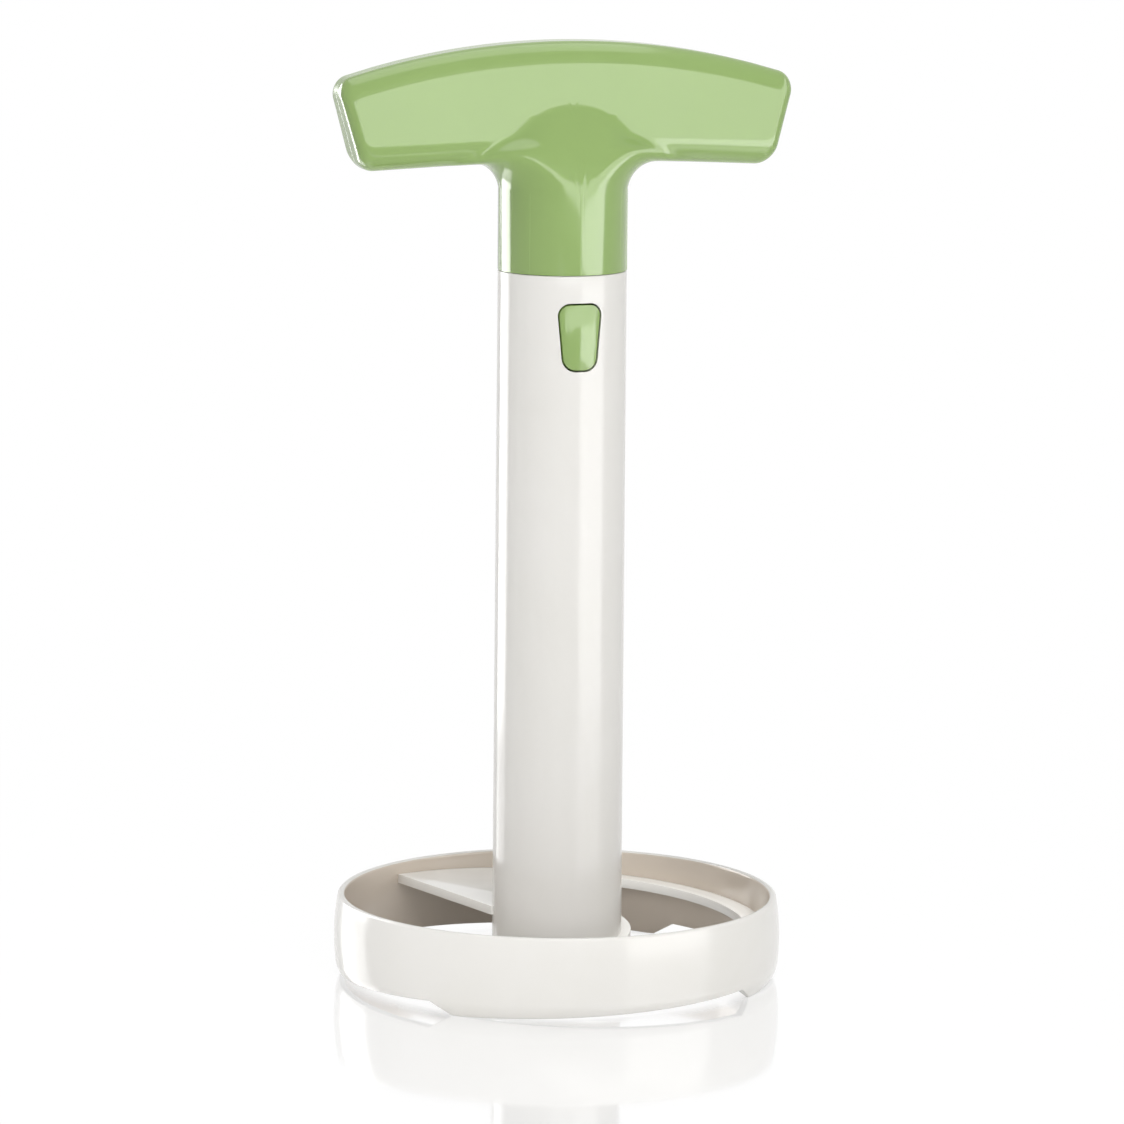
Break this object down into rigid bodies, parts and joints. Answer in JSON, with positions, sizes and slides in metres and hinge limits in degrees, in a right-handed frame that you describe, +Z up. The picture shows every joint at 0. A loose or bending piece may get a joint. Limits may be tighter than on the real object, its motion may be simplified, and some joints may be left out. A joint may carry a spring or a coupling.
{
  "type": "pineapple cutter",
  "caption": "Hand pineapple cutter: toothed ring with helical slicing blade on a coring tube, with a T-handle that a button releases.",
  "frame": {"origin": "on the tube's axis, at the height of the tooth tips that the tool stands on", "axes": "+Z up along the tube towards the handle, X along the handle's bar, -Y towards the release button"},
  "size_m": [0.0984, 0.095, 0.1992],
  "materials": {
    "white_plastic": "polished moulded white ABS",
    "green_plastic": "polished moulded leaf-green ABS"
  },
  "bodies": {
    "stem": {"stem_tube": "white_plastic", "cutter_ring": "white_plastic", "spiral_blade": "white_plastic"},
    "handle": {"handle_front_shell": "green_plastic", "handle_rear_shell": "green_plastic", "handle_plug": "green_plastic", "plug_cap": "green_plastic"},
    "latch": {"release_latch": "green_plastic"}
  },
  "joints": [
    {"name": "handle_lift", "type": "slide", "parent": "stem", "child": "handle", "axis": [0, 0, 1], "range_m": [0, 0.046], "deforming": ["release_latch"]},
    {"name": "button_press", "type": "hinge", "parent": "handle", "child": "latch", "pos_m": [0, -0.0082, 0.1136], "axis": [-1, 0, 0], "range_deg": [0, 8], "stiffness_Nm_per_rad": 1.2}
  ]
}
